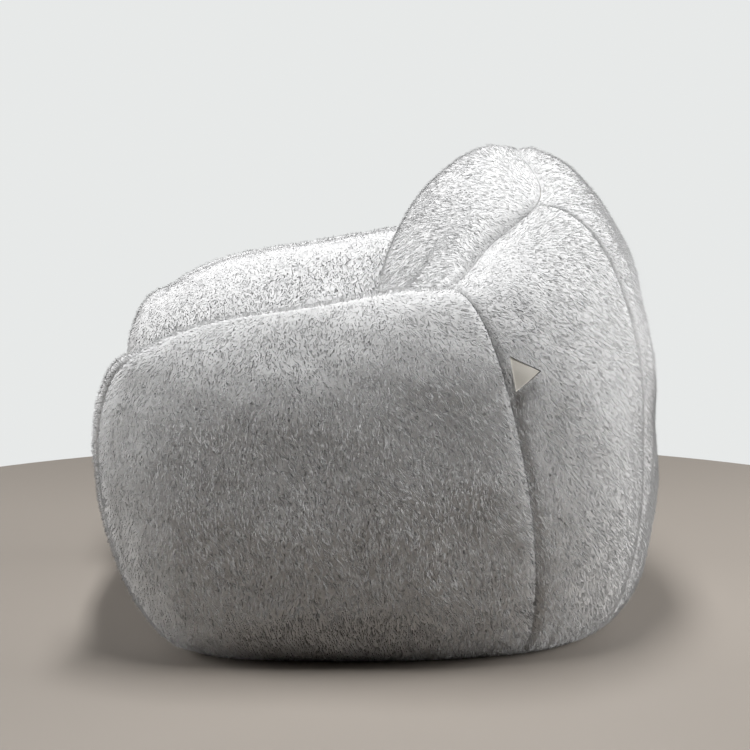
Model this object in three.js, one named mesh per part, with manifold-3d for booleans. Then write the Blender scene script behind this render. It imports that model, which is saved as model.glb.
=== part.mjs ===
// Bean bag chair in faux-fur plush: a horseshoe of two plump arms and a tall rounded back round a seat.
// Millimetres, +Z up, the chair faces -Y, its base rests on z = 0, centre of the bounding box at x = y = 0.
// "Left" is the sitter's left, which is +X.
import * as THREE from 'three';
import { mergeGeometries, mergeVertices } from 'three/addons/utils/BufferGeometryUtils.js';
import Module from 'manifold-3d';

const wasm = await Module();
wasm.setup();

// ---- Driving dimensions -------------------------------------------------------------------------------
const COVER = 12; // plush pile, its backing cloth and the turned seam allowance
const LINER = 1.5; // inner bag cloth
const FIT = 0.3; // clearance between layers and each side of a seam

// The outer wall hangs on three rails, read at stations that run from the nose seam (0) to the side seam (1),
// the rear seam (2) and the middle of the back (2.5). Each row is station, crest x y z, belly x y, base x y,
// then the belly's share of the height and the roundness below and above it.
const WALL = [
  [0.0, 405, -400, 556, 388, -488, 345, -322, 0.5, 2.0, 2.0],
  [0.1, 408, -352, 586, 447, -466, 371, -303, 0.5, 2.0, 2.0],
  [0.3, 411, -255, 614, 502, -346, 403, -235, 0.49, 2.0, 2.1],
  [0.55, 413, -105, 638, 520, -120, 418, -75, 0.48, 1.9, 2.2],
  [0.8, 408, 30, 662, 521, 100, 408, 110, 0.5, 1.8, 2.4],
  [1.0, 392, 123, 671, 500, 264, 366, 258, 0.53, 1.7, 2.6],
  [1.5, 312, 200, 734, 405, 412, 300, 345, 0.58, 1.65, 2.4],
  [2.0, 236, 286, 797, 246, 494, 222, 402, 0.62, 1.6, 2.2],
  [2.2, 165, 296, 828, 160, 504, 140, 432, 0.64, 1.6, 2.0],
  [2.5, 0, 264, 874, 0, 508, 0, 450, 0.65, 1.6, 2.0],
];
const SEAT_CORNER = [290, 32, 362]; // where the arm, the backrest and the seat meet
const FRONT_CORNER = [284, -436, 346]; // where the arm, the seat and the seat front meet
const FRONT_BELLY = [284, -458]; // the seat front's side edge at its fullest
const FRONT_BASE = [286, -338]; // the same edge at the floor
const INNER_PEAK = 0.42; // share of the way down an inner face at which it is fullest
const CREASE_BULGE = [-34, -40, 12];
const BACKREST_BULGE = [0, -126, 40];
const ARM_BULGE = [-92, -6, 0];
const NOSE_BULGE = [-42, -44, 10];
const SEAT_CROWN = 46;
const SEAT_FRONT_CROWN = 12;

// Facets along each run of seam; panels that share a seam share its facets
const RISE = 7;
const ARM_RUN = 10;
const CORNER_RUN = 4;
const BACK_RUN = 6;
const INNER_RUN = 5;
const ACROSS = CORNER_RUN * 2 + BACK_RUN;

// Zip fasteners: a T-shaped rail stands for each closed coil, and its slider wraps the rail's bar
const COVER_ZIP = { y: 20, reach: 310, base: 4.4, tapeTop: 11.4 };
const RECESS_SPARE = 15; // recess beyond each end of the coil, so that the pull can lie back either way
const LINER_ZIP = { y: -120, reach: 212, base: 13.2, tapeTop: 20.2 };
const ZIP_SLOT = 13; // half width of the recess
const BAR_HALF = 3;
const BAR_HIGH = 2.2;
const STEM_HALF = 1;
const TAPE_THICK = 1;
const SLIDER_HALF = 6;
const SLIDER_LONG = 15;
const SLIDER_WALL = 1.6;
const PULL_PIN_Z = 2;
const PIN_RADIUS = 0.75;
const PIN_HOLE = 0.8;

// ---- Small helpers ------------------------------------------------------------------------------------
const vec = (a) => new THREE.Vector3(a[0], a[1], a[2]);
const lerp = (a, b, t) => a + (b - a) * t;

const toManifold = (geometry) => {
  const plain = new THREE.BufferGeometry();
  plain.setAttribute('position', geometry.getAttribute('position').clone());
  if (geometry.index) plain.setIndex(geometry.index.clone());
  const merged = mergeVertices(plain, 1e-4);
  const body = new wasm.Manifold(
    new wasm.Mesh({
      numProp: 3,
      vertProperties: new Float32Array(merged.getAttribute('position').array),
      triVerts: new Uint32Array(merged.index.array),
    }),
  );
  return body;
};

const fromManifold = (body) => {
  const mesh = body.getMesh();
  const geometry = new THREE.BufferGeometry();
  geometry.setAttribute('position', new THREE.BufferAttribute(new Float32Array(mesh.vertProperties), 3));
  geometry.setIndex(new THREE.BufferAttribute(new Uint32Array(mesh.triVerts), 1));
  geometry.computeVertexNormals();
  return geometry;
};

const block = (x0, x1, y0, y1, z0, z1) => {
  const geometry = new THREE.BoxGeometry(x1 - x0, y1 - y0, z1 - z0);
  geometry.translate((x0 + x1) / 2, (y0 + y1) / 2, (z0 + z1) / 2);
  return toManifold(geometry);
};

// A round bar along Y
const bar = (x, y0, y1, z, radius) => {
  const geometry = new THREE.CylinderGeometry(radius, radius, y1 - y0, 20);
  geometry.translate(x, (y0 + y1) / 2, z);
  return toManifold(geometry);
};

// ---- The outer wall -----------------------------------------------------------------------------------
// Cardinal spline through one column of the rail table
const rail = (column, station) => {
  const last = WALL.length - 1;
  const at = (i) => {
    if (i <= last) return [WALL[Math.max(i, 0)][0], WALL[Math.max(i, 0)][column]];
    // past the middle of the back the table repeats as in a mirror: x changes sign, the rest does not
    const twin = WALL[2 * last - i];
    const mirrored = column === 1 || column === 4 || column === 6;
    return [2 * WALL[last][0] - twin[0], mirrored ? -twin[column] : twin[column]];
  };
  let i = 0;
  while (i < last - 1 && WALL[i + 1][0] < station) i += 1;
  const [s0, p0] = at(i);
  const [s1, p1] = at(i + 1);
  const [sa, pa] = at(i - 1);
  const [sb, pb] = at(i + 2);
  const t = (station - s0) / (s1 - s0);
  const slope0 = i === 0 ? (p1 - p0) / (s1 - s0) : (p1 - pa) / (s1 - sa);
  const slope1 = (pb - p0) / (sb - s0);
  const h = s1 - s0;
  const a = (2 * t ** 3 - 3 * t ** 2 + 1) * p0 + (t ** 3 - 2 * t ** 2 + t) * h * slope0;
  return a + (-2 * t ** 3 + 3 * t ** 2) * p1 + (t ** 3 - t ** 2) * h * slope1;
};

const swell = (w, peak, low, high) => {
  if (w <= peak) return Math.max(1 - (1 - w / peak) ** low, 0) ** (1 / low);
  return Math.max(1 - ((w - peak) / (1 - peak)) ** high, 0) ** (1 / high);
};

// Evenly spread facets round a profile that turns fastest at both ends
const ease = (t) => lerp(t, (1 - Math.cos(Math.PI * t)) / 2, 0.8);

const wallHalf = (station, t) => {
  const w = ease(t);
  const [cx, cy, cz, bx, by, fx, fy, peak, low, high] = WALL[0].slice(1).map((_, i) => rail(i + 1, station));
  const puff = swell(w, peak, low, high);
  const x = lerp(fx, cx, w) + puff * (bx - lerp(fx, cx, peak));
  const y = lerp(fy, cy, w) + puff * (by - lerp(fy, cy, peak));
  return new THREE.Vector3(x, y, cz * w);
};

const mirrorX = (p) => new THREE.Vector3(-p.x, p.y, p.z);
const wall = (station, t) => (station <= 2.5 ? wallHalf(station, t) : mirrorX(wallHalf(5 - station, t)));

// ---- The inner faces ----------------------------------------------------------------------------------
// Full and round below the seam, straight into the crease at the foot
const innerSwell = (w) => {
  if (w <= INNER_PEAK) return Math.sqrt(Math.max(1 - (1 - w / INNER_PEAK) ** 2, 0));
  return Math.cos((Math.PI / 2) * ((w - INNER_PEAK) / (1 - INNER_PEAK)));
};

const hang = (top, foot, bulge, w) => {
  const puff = innerSwell(w);
  const p = top.clone().lerp(foot, w);
  return p.addScaledVector(bulge, puff);
};

// Seat front's side edge, floor to seat
const frontEdge = (t) => {
  const w = ease(t);
  const [x, , top] = FRONT_CORNER;
  const puff = swell(w, 0.5, 2, 2);
  const line = lerp(FRONT_BASE[1], FRONT_CORNER[1], w);
  const fullest = FRONT_BELLY[1] - lerp(FRONT_BASE[1], FRONT_CORNER[1], 0.5);
  return new THREE.Vector3(lerp(FRONT_BASE[0], x, w), line + puff * fullest, top * w);
};

// Seat's side edge, front to rear
const seatEdge = (t) => {
  const p = vec(FRONT_CORNER).lerp(vec(SEAT_CORNER), t);
  p.z -= 14 * Math.sin(Math.PI * t);
  p.x -= 6 * Math.sin(Math.PI * t);
  return p;
};

// Arm's inner panel: v runs up the nose and back along the crest, u from the crest seam down to the seat
const armInner = (u, v) => {
  const step = Math.round(v * (RISE + ARM_RUN) * 1e6) / 1e6;
  if (step <= RISE) {
    const t = step / RISE;
    const bulge = new THREE.Vector3(0, -5, 0).lerp(vec(NOSE_BULGE), t ** 4);
    return hang(wallHalf(0, t), frontEdge(t), bulge, u);
  }
  const t = (step - RISE) / ARM_RUN;
  const early = Math.min(t / 0.3, 1);
  const late = Math.max((t - 0.7) / 0.3, 0);
  const bulge = vec(NOSE_BULGE).lerp(vec(ARM_BULGE), early * (2 - early));
  bulge.lerp(vec(CREASE_BULGE), late * late);
  return hang(wallHalf(t, 1), seatEdge(t), bulge, u);
};

// Runs across the chair follow the facets of the two corners and the back
const acrossStation = (q) => {
  const step = Math.round(q * ACROSS * 1e6) / 1e6;
  if (step <= CORNER_RUN) return 1 + step / CORNER_RUN;
  if (step <= CORNER_RUN + BACK_RUN) return 2 + (step - CORNER_RUN) / BACK_RUN;
  return 3 + (step - CORNER_RUN - BACK_RUN) / CORNER_RUN;
};

const seatRear = (q) => {
  const side = 1 - 2 * q;
  const lift = 1 - side * side;
  return new THREE.Vector3(SEAT_CORNER[0] * side, SEAT_CORNER[1] - 6 * lift, SEAT_CORNER[2] + 22 * lift);
};

const seatFrontEdge = (q) => {
  const side = 1 - 2 * q;
  const lift = 1 - side * side;
  return new THREE.Vector3(FRONT_CORNER[0] * side, FRONT_CORNER[1] - 12 * lift, FRONT_CORNER[2] + 26 * lift);
};

const seatFrontFoot = (q) => {
  const side = 1 - 2 * q;
  return new THREE.Vector3(FRONT_BASE[0] * side, FRONT_BASE[1] - 8 * (1 - side * side), 0);
};

const backrest = (q, w) => {
  const side = 1 - 2 * q;
  const edge = Math.abs(side) ** 2.2;
  const bulge = new THREE.Vector3(
    CREASE_BULGE[0] * side * edge,
    lerp(BACKREST_BULGE[1], CREASE_BULGE[1], edge),
    lerp(BACKREST_BULGE[2], CREASE_BULGE[2], edge),
  );
  return hang(wall(acrossStation(q), 1), seatRear(q), bulge, w);
};

// A four-sided patch filled in from its edges
const fillIn = (south, north, west, east, u, v) => {
  const p = south(u).multiplyScalar(1 - v).addScaledVector(north(u), v);
  p.addScaledVector(west(v), 1 - u).addScaledVector(east(v), u);
  p.addScaledVector(south(0), -(1 - u) * (1 - v)).addScaledVector(south(1), -u * (1 - v));
  return p.addScaledVector(north(0), -(1 - u) * v).addScaledVector(north(1), -u * v);
};

const seat = (q, t) => {
  const p = fillIn(seatFrontEdge, seatRear, seatEdge, (v) => mirrorX(seatEdge(v)), q, t);
  p.z += SEAT_CROWN * Math.sin(Math.PI * q) * Math.sin(Math.PI * t) ** 0.8;
  return p;
};

const seatFront = (q, t) => {
  const p = fillIn(seatFrontFoot, seatFrontEdge, frontEdge, (v) => mirrorX(frontEdge(v)), q, t);
  p.y -= SEAT_FRONT_CROWN * Math.sin(Math.PI * q) * Math.sin(Math.PI * t);
  return p;
};

// ---- Every outer panel as a patch: name, facets each way, surface, and whether it has to be turned over ---
const pair = (name, nu, nv, surface, turned) => [
  [`${name}_left`, nu, nv, surface, turned],
  [`${name}_right`, nu, nv, (u, v) => mirrorX(surface(u, v)), !turned],
];
const PATCHES = [
  ...pair('outer_arm_panel', ARM_RUN, RISE, (u, v) => wallHalf(u, v), false),
  ...pair('inner_arm_panel', INNER_RUN, RISE + ARM_RUN, armInner, true),
  ...pair('back_side_panel', CORNER_RUN, RISE, (u, v) => wallHalf(1 + u, v), false),
  ['back_centre_panel', BACK_RUN, RISE, (u, v) => wall(2 + u, v), false],
  ['backrest_front_panel', ACROSS, INNER_RUN, backrest, false],
  ['seat_panel', ACROSS, ARM_RUN, seat, true],
  ['seat_front_panel', ACROSS, RISE, seatFront, true],
];

// Floor outline, in order, from the facets of the panels that meet it
const outline = [];
for (let i = 0; i < ARM_RUN; i += 1) outline.push(wallHalf(i / ARM_RUN, 0));
for (let i = 0; i < CORNER_RUN; i += 1) outline.push(wallHalf(1 + i / CORNER_RUN, 0));
for (let i = 0; i < BACK_RUN; i += 1) outline.push(wall(2 + i / BACK_RUN, 0));
for (let i = 0; i < CORNER_RUN; i += 1) outline.push(wall(3 + i / CORNER_RUN, 0));
for (let i = 0; i < ARM_RUN; i += 1) outline.push(wall(4 + i / ARM_RUN, 0));
for (let i = 0; i < INNER_RUN; i += 1) outline.push(mirrorX(armInner(i / INNER_RUN, 0)));
for (let i = 0; i < ACROSS; i += 1) outline.push(seatFrontFoot(1 - i / ACROSS));
for (let i = 0; i < INNER_RUN; i += 1) outline.push(armInner(1 - i / INNER_RUN, 0));

const drape = (geometry, map) => {
  const position = geometry.getAttribute('position');
  for (let i = 0; i < position.count; i += 1) {
    const p = map(position.getX(i), position.getY(i), position.getZ(i));
    position.setXYZ(i, p.x, p.y, p.z);
  }
  return geometry;
};

const turnOver = (geometry) => {
  const index = geometry.index;
  for (let i = 0; i < index.count; i += 3) {
    const first = index.getX(i);
    index.setX(i, index.getX(i + 1));
    index.setX(i + 1, first);
  }
  return geometry;
};

const bare = (geometry) => {
  geometry.deleteAttribute('uv');
  geometry.deleteAttribute('normal');
  return geometry;
};

// ---- The whole skin, closed by the floor, gives every corner one direction to grow thicker in -------------
const skins = PATCHES.map(([, nu, nv, surface, turned]) => {
  const skin = drape(bare(new THREE.PlaneGeometry(1, 1, nu, nv)), (x, y) =>
    surface(Math.round((x + 0.5) * nu) / nu, Math.round((y + 0.5) * nv) / nv),
  );
  return turned ? turnOver(skin) : skin;
});
const floorShape = new THREE.Shape(outline.map((p) => new THREE.Vector2(p.x, p.y)));
skins.push(turnOver(bare(new THREE.ShapeGeometry(floorShape))));
const skin = mergeVertices(mergeGeometries(skins), 0.01);
skin.computeBoundingBox();
const shiftY = -(skin.boundingBox.min.y + skin.boundingBox.max.y) / 2;
skin.computeVertexNormals();

const key = (p) => `${Math.round(p.x * 20)}/${Math.round(p.y * 20)}/${Math.round(p.z * 20)}`;
const outward = new Map();
{
  const position = skin.getAttribute('position');
  const normal = skin.getAttribute('normal');
  for (let i = 0; i < position.count; i += 1) {
    const p = new THREE.Vector3().fromBufferAttribute(position, i);
    const n = new THREE.Vector3().fromBufferAttribute(normal, i);
    if (p.z < 0.01) {
      // at the floor's edge the layers rise straight up and step in by half as much
      n.z = 0;
      n.normalize().multiplyScalar(0.5);
      n.z = -1;
    }
    for (const dx of [-0.02, 0, 0.02]) {
      for (const dy of [-0.02, 0, 0.02]) {
        for (const dz of [-0.02, 0, 0.02]) {
          outward.set(key(new THREE.Vector3(p.x + dx, p.y + dy, p.z + dz)), n);
        }
      }
    }
  }
}

const inset = (p, depth) => {
  const n = outward.get(key(p));
  if (!n) throw new Error(`no skin corner at ${p.x} ${p.y} ${p.z}`);
  return p.clone().addScaledVector(n, -depth);
};

const skinAt = (depth) => {
  const layer = skin.clone();
  layer.deleteAttribute('normal');
  return toManifold(drape(layer, (x, y, z) => inset(new THREE.Vector3(x, y, z), depth)));
};

// ---- Parts --------------------------------------------------------------------------------------------
const PLUSH = { color: 0xc9c9c8, roughness: 0.95, metalness: 0 };
const WOVEN = { color: 0x3b3a3d, roughness: 0.9, metalness: 0 };
const TAPE = { color: 0x2e2e31, roughness: 0.9, metalness: 0 };
const COIL = { color: 0x262629, roughness: 0.45, metalness: 0 };
const METAL = { color: 0x8f9194, roughness: 0.35, metalness: 0.9 };
const LABEL = { color: 0xe9e6dd, roughness: 0.8, metalness: 0 };
const CALICO = { color: 0xe4e0d6, roughness: 0.9, metalness: 0 };
const BEADS = { color: 0xf2f2ef, roughness: 0.7, metalness: 0 };

const chair = new THREE.Group();
chair.name = 'bean_bag_chair';
const add = (name, geometry, look) => {
  const mesh = new THREE.Mesh(geometry, new THREE.MeshStandardMaterial(look));
  mesh.name = name;
  chair.add(mesh);
  return mesh;
};

// A panel is its patch given a thickness, drawn back from each seam by the clearance. Its faces are split along
// the same diagonals as the layer under it and the neighbour across the seam, so none of them cross.
const panel = ([, nu, nv, surface, turned]) => {
  const at = (i, j) => surface(i / nu, j / nv);
  const box = bare(new THREE.BoxGeometry(1, 1, 1, nu, nv, 1));
  const corners = [];
  drape(box, (x, y, z) => {
    const i = Math.round((x + 0.5) * nu);
    const j = Math.round((y + 0.5) * nv);
    const onSkin = z > 0 === !turned;
    const foot = at(i, j);
    corners.push({ onSkin, place: i + j, rank: foot.y + 0.31 * foot.z - 0.17 * Math.abs(foot.x) });
    const away = new THREE.Vector3();
    if (i === 0 || i === nu) away.add(at(i === 0 ? 1 : nu - 1, j).sub(foot).normalize());
    if (j === 0 || j === nv) away.add(at(i, j === 0 ? 1 : nv - 1).sub(foot).normalize());
    return inset(foot, onSkin ? 0 : COVER).addScaledVector(away, FIT);
  });
  const index = box.index;
  for (let k = 0; k < index.count; k += 6) {
    const [a, b, d, c] = [index.getX(k), index.getX(k + 1), index.getX(k + 2), index.getX(k + 4)];
    const ring = [a, b, c, d];
    const skinSide = ring.filter((n) => corners[n].onSkin);
    const onSeam = skinSide.length === 2;
    const candidates = onSeam ? skinSide : ring;
    const worth = onSeam ? (n) => corners[n].rank : (n) => -corners[n].place;
    const chosen = candidates.reduce((best, n) => (worth(n) > worth(best) ? n : best));
    if (chosen === b || chosen === d) continue;
    [a, b, c, a, c, d].forEach((n, step) => index.setX(k + step, n));
  }
  return toManifold(box);
};

for (const patch of PATCHES) {
  add(patch[0], fromManifold(panel(patch)), PLUSH);
}

// Padded base cloth in two halves, with the recess of the cover's zip between them
const baseSlab = (() => {
  const slab = bare(new THREE.ExtrudeGeometry(floorShape, { depth: 1, bevelEnabled: false }));
  drape(slab, (x, y, z) => {
    const n = outward.get(key(new THREE.Vector3(x, y, 0)));
    const p = new THREE.Vector3(x, y, z * COVER);
    return p.addScaledVector(new THREE.Vector3(n.x, n.y, 0), -(z * COVER + FIT * 6));
  });
  return toManifold(mergeVertices(slab, 0.001));
})();
const zipY = COVER_ZIP.y - shiftY;
const recessHalf = COVER_ZIP.reach + RECESS_SPARE;
const baseSlot = block(-recessHalf, recessHalf, zipY - ZIP_SLOT, zipY + ZIP_SLOT, -5, 20);
const baseRear = block(-600, 600, zipY + FIT, 600, -5, 20);
const baseFront = block(-600, 600, -600, zipY - FIT, -5, 20);
add('base_panel_rear', fromManifold(baseSlab.intersect(baseRear).subtract(baseSlot)), WOVEN);
add('base_panel_front', fromManifold(baseSlab.intersect(baseFront).subtract(baseSlot)), WOVEN);

// Folded label caught in the left side seam, lying back over the plush
const label = (() => {
  const seam = (t) => wallHalf(1, t);
  const low = seam(0.665);
  const high = seam(0.755);
  const tip = wallHalf(1.24, 0.715);
  const centre = low.clone().add(high).add(tip).divideScalar(3);
  const across = high.clone().sub(low);
  const face = across.clone().cross(tip.clone().sub(low)).normalize();
  if (face.x < 0) face.negate();
  const grow = (p) => p.clone().sub(centre).multiplyScalar(0.94).add(centre);
  const corners = [low, high, tip].map(grow);
  const slab = new THREE.CylinderGeometry(1, 1, 1, 3, 1);
  const flat = bare(slab);
  drape(flat, (x, y, z) => {
    const ring = Math.hypot(x, z);
    if (ring < 0.5) return centre.clone().addScaledVector(face, y > 0 ? 4.2 : -6);
    const spoke = Math.round((Math.atan2(x, z) / (2 * Math.PI)) * 3 + 3) % 3;
    return corners[spoke].clone().addScaledVector(face, y > 0 ? 4.2 : -6);
  });
  let body = toManifold(flat);
  if (body.volume() < 0) body = toManifold(turnOver(mergeVertices(flat, 1e-4)));
  return body.subtract(skinAt(-FIT - 0.1));
})();
add('side_label', fromManifold(label), LABEL);

// Inner bag, its zip opening, and the beads it holds
const linerZipY = LINER_ZIP.y - shiftY;
const linerSlot = (margin, top) =>
  block(
    -LINER_ZIP.reach - margin,
    LINER_ZIP.reach + margin,
    linerZipY - ZIP_SLOT - margin,
    linerZipY + ZIP_SLOT + margin,
    0,
    top,
  );
const linerOuter = skinAt(COVER + FIT);
const linerInner = skinAt(COVER + FIT + LINER);
const liner = linerOuter.subtract(linerInner).subtract(linerSlot(0, 40));
add('inner_bag', fromManifold(liner), CALICO);
const beads = skinAt(COVER + LINER + FIT * 2).subtract(linerSlot(FIT, LINER_ZIP.tapeTop + FIT));
add('bean_fill', fromManifold(beads), BEADS);

// Rail that stands for the closed coil: a bar on a narrow stem that reaches up between the tapes
const rails = (zip, y, half, tapeTop) => {
  const foot = zip.base + SLIDER_WALL + 0.4;
  const stem = block(-half, half, y - STEM_HALF, y + STEM_HALF, foot + 0.5, tapeTop);
  return stem.add(block(-half, half, y - BAR_HALF, y + BAR_HALF, foot, foot + BAR_HIGH));
};

// Slider: a C-shaped runner with its mouth upwards round the bar
const runner = (zip, y, x0) => {
  const foot = zip.base + SLIDER_WALL;
  const roof = foot + BAR_HIGH + 0.8;
  const body = block(x0, x0 + SLIDER_LONG, y - SLIDER_HALF, y + SLIDER_HALF, zip.base, roof + 0.8);
  const bore = block(x0 - 1, x0 + SLIDER_LONG + 1, y - BAR_HALF - 0.4, y + BAR_HALF + 0.4, foot, roof);
  const mouth = block(x0 - 1, x0 + SLIDER_LONG + 1, y - STEM_HALF - 0.4, y + STEM_HALF + 0.4, foot, roof + 5);
  return body.subtract(bore).subtract(mouth);
};

// Cover zip: two flat tapes at the top of the recess, the coil between them and a stop at each end
const coverHalf = COVER_ZIP.reach - 4;
const tapeSpan = recessHalf - FIT;
for (const [side, sign] of [['rear', 1], ['front', -1]]) {
  const near = zipY + sign * (STEM_HALF + FIT);
  const far = zipY + sign * (ZIP_SLOT - FIT);
  const [y0, y1] = [Math.min(near, far), Math.max(near, far)];
  const tape = block(-tapeSpan, tapeSpan, y0, y1, COVER_ZIP.tapeTop - TAPE_THICK, COVER_ZIP.tapeTop);
  add(`cover_zip_tape_${side}`, fromManifold(tape), TAPE);
}
add('cover_zip_coil', fromManifold(rails(COVER_ZIP, zipY, coverHalf, COVER_ZIP.tapeTop)), COIL);
for (const [side, sign] of [['left', 1], ['right', -1]]) {
  const inner = sign * (coverHalf + FIT);
  const outer = sign * (coverHalf + FIT + 3);
  const [x0, x1] = [Math.min(inner, outer), Math.max(inner, outer)];
  const stop = block(x0, x1, zipY - 4.5, zipY + 4.5, 5.2, COVER_ZIP.tapeTop - TAPE_THICK - FIT);
  add(`cover_zip_end_stop_${side}`, fromManifold(stop), METAL);
}

// Slider with an ear below it, drilled for the pull's pin
const sliderX = -coverHalf + 6;
const earX = sliderX + SLIDER_LONG / 2;
const ear = block(earX - 2.6, earX + 1.6, zipY - 1.5, zipY + 1.5, 0.6, COVER_ZIP.base + 0.5);
const slider = runner(COVER_ZIP, zipY, sliderX).add(ear);
const drilled = slider.subtract(bar(earX, zipY - 4, zipY + 4, PULL_PIN_Z, PIN_HOLE));
add('cover_zip_slider', fromManifold(drilled), METAL);

// Pull: two cheeks either side of the ear, a pin through it and a flat tab
const cheeks = [-1, 1].map((sign) => {
  const [y0, y1] = sign > 0 ? [zipY + 1.9, zipY + 3.3] : [zipY - 3.3, zipY - 1.9];
  return block(earX - 1.5, earX + 7, y0, y1, 0.5, PULL_PIN_Z + 0.75);
});
const tab = block(earX + 3, earX + 27, zipY - 3.3, zipY + 3.3, 0.5, 1.7);
const eye = block(earX + 20, earX + 24, zipY - 1.4, zipY + 1.4, 0, 3);
const pin = bar(earX, zipY - 3, zipY + 3, PULL_PIN_Z, PIN_RADIUS);
const pull = tab.subtract(eye).add(cheeks[0]).add(cheeks[1]).add(pin);
add('cover_zip_pull', fromManifold(pull), METAL);

// Inner bag's zip: a tape folded into a trough that sinks into the beads, coil and slider with no pull
const trough = (() => {
  const reach = LINER_ZIP.reach - FIT;
  const wide = ZIP_SLOT - FIT;
  const outside = block(-reach, reach, linerZipY - wide, linerZipY + wide, COVER + FIT, LINER_ZIP.tapeTop);
  const inside = block(
    -reach - 1,
    reach + 1,
    linerZipY - wide + TAPE_THICK,
    linerZipY + wide - TAPE_THICK,
    0,
    LINER_ZIP.tapeTop - TAPE_THICK,
  );
  return outside.subtract(inside);
})();
add('inner_bag_zip_tape', fromManifold(trough), CALICO);
const linerHalf = LINER_ZIP.reach - 6;
const linerRail = rails(LINER_ZIP, linerZipY, linerHalf, LINER_ZIP.tapeTop - TAPE_THICK - FIT);
add('inner_bag_zip_coil', fromManifold(linerRail), COIL);
const linerSliderX = -linerHalf + 4;
add('inner_bag_zip_slider', fromManifold(runner(LINER_ZIP, linerZipY, linerSliderX)), METAL);

for (const mesh of chair.children) mesh.geometry.translate(0, shiftY, 0);

export default chair;
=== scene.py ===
"""Bean bag chair in silver-grey faux fur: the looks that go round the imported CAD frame.

Metres, +Z up, the chair faces -Y, +X is the sitter's left. The plush cover is rebuilt finely on the CAD part's own
rails, puffed out between its seams by a cloth simulation, cut into its sewn panels, and given a combed pile of
short tapered fibres.
"""

import math

import bpy
import numpy as np
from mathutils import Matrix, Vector, kdtree


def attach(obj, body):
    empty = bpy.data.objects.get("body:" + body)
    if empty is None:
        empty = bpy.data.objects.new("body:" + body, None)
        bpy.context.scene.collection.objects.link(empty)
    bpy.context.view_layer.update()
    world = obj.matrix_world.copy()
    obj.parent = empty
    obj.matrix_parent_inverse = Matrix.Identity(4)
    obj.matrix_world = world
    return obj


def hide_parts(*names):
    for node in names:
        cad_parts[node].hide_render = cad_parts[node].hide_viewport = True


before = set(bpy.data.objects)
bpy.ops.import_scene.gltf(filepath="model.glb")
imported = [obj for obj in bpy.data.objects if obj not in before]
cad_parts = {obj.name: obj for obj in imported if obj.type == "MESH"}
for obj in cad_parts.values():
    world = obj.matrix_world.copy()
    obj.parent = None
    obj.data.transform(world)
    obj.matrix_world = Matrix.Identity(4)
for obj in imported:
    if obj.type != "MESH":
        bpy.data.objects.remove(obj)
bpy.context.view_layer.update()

# ---- Rails of the CAD part, in millimetres before its box was centred -----------------------------------------
SHIFT_Y = -16.09
WALL = np.array([
    [0.0, 405, -400, 556, 388, -488, 345, -322, 0.5, 2.0, 2.0],
    [0.1, 408, -352, 586, 447, -466, 371, -303, 0.5, 2.0, 2.0],
    [0.3, 411, -255, 614, 502, -346, 403, -235, 0.49, 2.0, 2.1],
    [0.55, 413, -105, 638, 520, -120, 418, -75, 0.48, 1.9, 2.2],
    [0.8, 408, 30, 662, 521, 100, 408, 110, 0.5, 1.8, 2.4],
    [1.0, 392, 123, 671, 500, 264, 366, 258, 0.53, 1.7, 2.6],
    [1.5, 312, 200, 734, 405, 412, 300, 345, 0.58, 1.65, 2.4],
    [2.0, 236, 286, 797, 246, 494, 222, 402, 0.62, 1.6, 2.2],
    [2.2, 165, 296, 828, 160, 504, 140, 432, 0.64, 1.6, 2.0],
    [2.5, 0, 264, 874, 0, 508, 0, 450, 0.65, 1.6, 2.0],
])
MIRRORED_COLUMNS = (1, 4, 6)
SEAT_CORNER = np.array([290.0, 32, 362])
FRONT_CORNER = np.array([284.0, -436, 346])
FRONT_BELLY_Y = -458.0
FRONT_BASE = np.array([286.0, -338, 0])
INNER_PEAK = 0.42
CREASE_BULGE = np.array([-34.0, -40, 12])
BACKREST_BULGE = np.array([0.0, -126, 40])
ARM_BULGE = np.array([-92.0, -6, 0])
NOSE_BULGE = np.array([-42.0, -44, 10])
NOSE_FOOT_BULGE = np.array([0.0, -5, 0])
SEAT_CROWN = 46.0
SEAT_FRONT_CROWN = 12.0

# Mesh steps along each run of seam; panels that share a seam share its steps
RISE, ARM_RUN, CORNER_RUN, BACK_RUN, INNER_RUN = (84, 80, 32, 48, 44)
ACROSS = 2 * CORNER_RUN + BACK_RUN

PRESSURE = 4.0
SIM_FRAMES = 20
MOST_PUFF = 0.018


def wall_columns(column):
    """One column of the rail table, carried on past the middle of the back as in a mirror."""
    station, value = WALL[:, 0], WALL[:, column]
    sign = -1.0 if column in MIRRORED_COLUMNS else 1.0
    middle = station[-1]
    return (
        np.r_[station, 2 * middle - station[-2]],
        np.r_[value, sign * value[-2]],
    )


def rail(column, station):
    """Cardinal spline through one column, as in the CAD part."""
    knots, values = wall_columns(column)
    last = len(WALL) - 1
    i = np.clip(np.searchsorted(WALL[:, 0], station, side="right") - 1, 0, last - 1)
    s0, s1, p0, p1 = knots[i], knots[i + 1], values[i], values[i + 1]
    before = np.maximum(i - 1, 0)
    slope0 = np.where(
        i == 0,
        (p1 - p0) / (s1 - s0),
        (p1 - values[before]) / (s1 - np.where(i == 0, s0 - 1, knots[before])),
    )
    slope1 = (values[i + 2] - p0) / (knots[i + 2] - s0)
    h = s1 - s0
    t = (station - s0) / h
    start = (2 * t**3 - 3 * t**2 + 1) * p0 + (t**3 - 2 * t**2 + t) * h * slope0
    return start + (-2 * t**3 + 3 * t**2) * p1 + (t**3 - t**2) * h * slope1


def swell(w, peak, low, high):
    under = np.clip(1 - np.clip(1 - w / peak, 0, 1) ** low, 0, 1) ** (1 / low)
    over = np.clip(1 - np.clip((w - peak) / (1 - peak), 0, 1) ** high, 0, 1) ** (1 / high)
    return np.where(w <= peak, under, over)


def ease(t):
    return t + (((1 - np.cos(np.pi * t)) / 2) - t) * 0.8


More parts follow.
